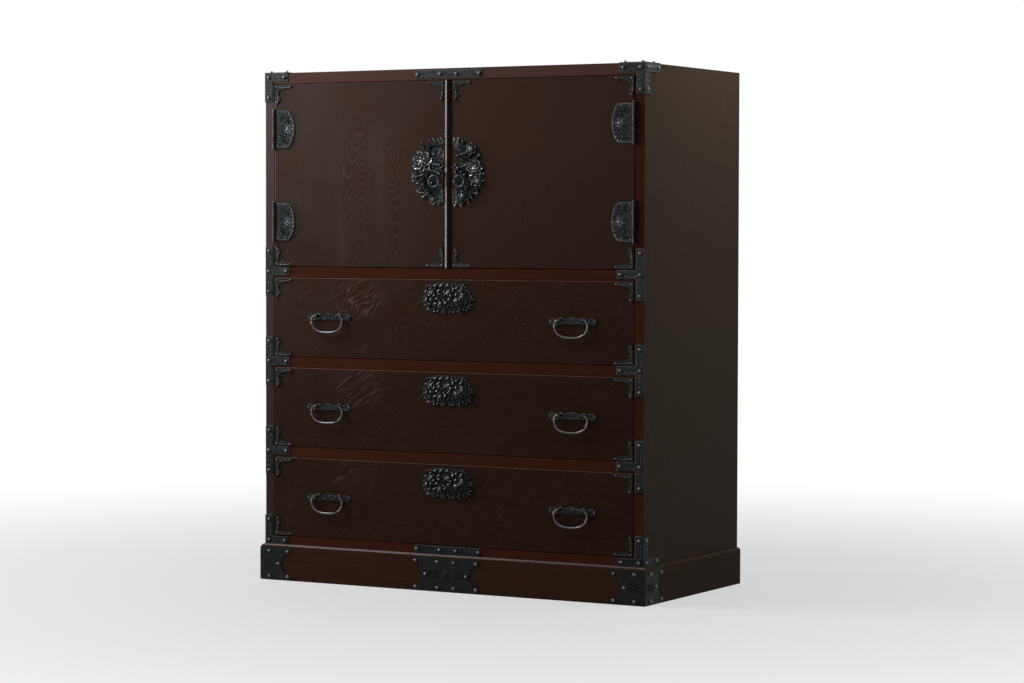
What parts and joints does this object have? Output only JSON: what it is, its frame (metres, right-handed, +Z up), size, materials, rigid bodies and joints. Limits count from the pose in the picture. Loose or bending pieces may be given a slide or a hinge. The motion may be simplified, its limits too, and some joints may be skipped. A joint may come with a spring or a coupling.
{
  "type": "tansu chest",
  "caption": "Upright lacquered wood chest on a plinth: hinged cupboard doors over stacked sliding drawers, with black iron corner plates, ring pulls and swinging bail handles.",
  "frame": {"origin": "centre of the chest's footprint on the floor", "axes": "+X to the right for a person facing the front, +Y from the front to the back, +Z up"},
  "size_m": [1.0902, 0.531, 1.2711],
  "materials": {
    "frame_lacquer": "reddish brown lacquer, glossy",
    "front_lacquer": "dark brown lacquer over figured grain",
    "plain_wood": "planed, unfinished",
    "black_iron": "black sheet iron, chased",
    "worn_iron": "black iron worn bright on the high places"
  },
  "bodies": {
    "carcass": {"top_board": "frame_lacquer", "left_side_board": "frame_lacquer", "right_side_board": "frame_lacquer", "bottom_board": "frame_lacquer", "front_rails": "frame_lacquer", "plinth_front_board": "frame_lacquer", "plinth_side_boards": "frame_lacquer", "back_boards": "plain_wood", "cupboard_floor": "plain_wood", "dust_panels": "plain_wood", "drawer_runners": "plain_wood", "cupboard_shelf": "plain_wood", "shelf_cleats": "plain_wood", "door_stop": "plain_wood", "plinth_back_board": "plain_wood", "plinth_corner_blocks": "plain_wood", "top_corner_fittings": "black_iron", "bottom_corner_fittings": "black_iron", "rail_tee_fittings": "black_iron", "center_bar_fittings": "black_iron", "plinth_corner_fittings": "black_iron", "plinth_center_fitting": "black_iron", "dome_nails": "worn_iron", "frame_hinge_leaves": "worn_iron", "hinge_pins": "worn_iron"},
    "left_door": {"left_door_panel": "front_lacquer", "left_door_hinge_leaves": "worn_iron", "left_door_corner_fittings": "black_iron", "left_medallion": "black_iron"},
    "left_ring": {"left_ring_pull": "worn_iron"},
    "right_door": {"right_door_panel": "front_lacquer", "meeting_strip": "frame_lacquer", "right_door_hinge_leaves": "worn_iron", "right_door_corner_fittings": "black_iron", "right_medallion": "black_iron"},
    "right_ring": {"right_ring_pull": "worn_iron"},
    "upper_drawer": {"upper_drawer_front": "front_lacquer", "upper_drawer_box": "plain_wood", "upper_drawer_bottom": "plain_wood", "upper_drawer_corner_fittings": "black_iron", "upper_drawer_center_plate": "black_iron", "upper_drawer_pull_plates": "black_iron"},
    "upper_left_bail": {"upper_left_bail": "worn_iron"},
    "upper_right_bail": {"upper_right_bail": "worn_iron"},
    "middle_drawer": {"middle_drawer_front": "front_lacquer", "middle_drawer_box": "plain_wood", "middle_drawer_bottom": "plain_wood", "middle_drawer_corner_fittings": "black_iron", "middle_drawer_center_plate": "black_iron", "middle_drawer_pull_plates": "black_iron"},
    "middle_left_bail": {"middle_left_bail": "worn_iron"},
    "middle_right_bail": {"middle_right_bail": "worn_iron"},
    "lower_drawer": {"lower_drawer_front": "front_lacquer", "lower_drawer_box": "plain_wood", "lower_drawer_bottom": "plain_wood", "lower_drawer_corner_fittings": "black_iron", "lower_drawer_center_plate": "black_iron", "lower_drawer_pull_plates": "black_iron"},
    "lower_left_bail": {"lower_left_bail": "worn_iron"},
    "lower_right_bail": {"lower_right_bail": "worn_iron"}
  },
  "joints": [
    {"name": "left_door_hinge", "type": "hinge", "parent": "carcass", "child": "left_door", "pos_m": [-0.5031, -0.2534, 1.0105], "axis": [0, 0, -1], "range_deg": [0, 160]},
    {"name": "left_ring_swing", "type": "hinge", "parent": "left_door", "child": "left_ring", "pos_m": [-0.0355, -0.2595, 1.0065], "axis": [-1, 0, 0], "range_deg": [0, 110]},
    {"name": "right_door_hinge", "type": "hinge", "parent": "carcass", "child": "right_door", "pos_m": [0.5031, -0.2534, 1.0105], "axis": [0, 0, 1], "range_deg": [0, 160]},
    {"name": "right_ring_swing", "type": "hinge", "parent": "right_door", "child": "right_ring", "pos_m": [0.0355, -0.2595, 1.0065], "axis": [-1, 0, 0], "range_deg": [0, 110]},
    {"name": "upper_drawer_slide", "type": "slide", "parent": "carcass", "child": "upper_drawer", "axis": [0, -1, 0], "range_m": [0, 0.4]},
    {"name": "upper_left_bail_swing", "type": "hinge", "parent": "upper_drawer", "child": "upper_left_bail", "pos_m": [-0.342, -0.2605, 0.66325], "axis": [-1, 0, 0], "range_deg": [0, 110]},
    {"name": "upper_right_bail_swing", "type": "hinge", "parent": "upper_drawer", "child": "upper_right_bail", "pos_m": [0.342, -0.2605, 0.66325], "axis": [-1, 0, 0], "range_deg": [0, 110]},
    {"name": "middle_drawer_slide", "type": "slide", "parent": "carcass", "child": "middle_drawer", "axis": [0, -1, 0], "range_m": [0, 0.4]},
    {"name": "middle_left_bail_swing", "type": "hinge", "parent": "middle_drawer", "child": "middle_left_bail", "pos_m": [-0.342, -0.2605, 0.43925], "axis": [-1, 0, 0], "range_deg": [0, 110]},
    {"name": "middle_right_bail_swing", "type": "hinge", "parent": "middle_drawer", "child": "middle_right_bail", "pos_m": [0.342, -0.2605, 0.43925], "axis": [-1, 0, 0], "range_deg": [0, 110]},
    {"name": "lower_drawer_slide", "type": "slide", "parent": "carcass", "child": "lower_drawer", "axis": [0, -1, 0], "range_m": [0, 0.4]},
    {"name": "lower_left_bail_swing", "type": "hinge", "parent": "lower_drawer", "child": "lower_left_bail", "pos_m": [-0.342, -0.2605, 0.21525], "axis": [-1, 0, 0], "range_deg": [0, 110]},
    {"name": "lower_right_bail_swing", "type": "hinge", "parent": "lower_drawer", "child": "lower_right_bail", "pos_m": [0.342, -0.2605, 0.21525], "axis": [-1, 0, 0], "range_deg": [0, 110]}
  ]
}
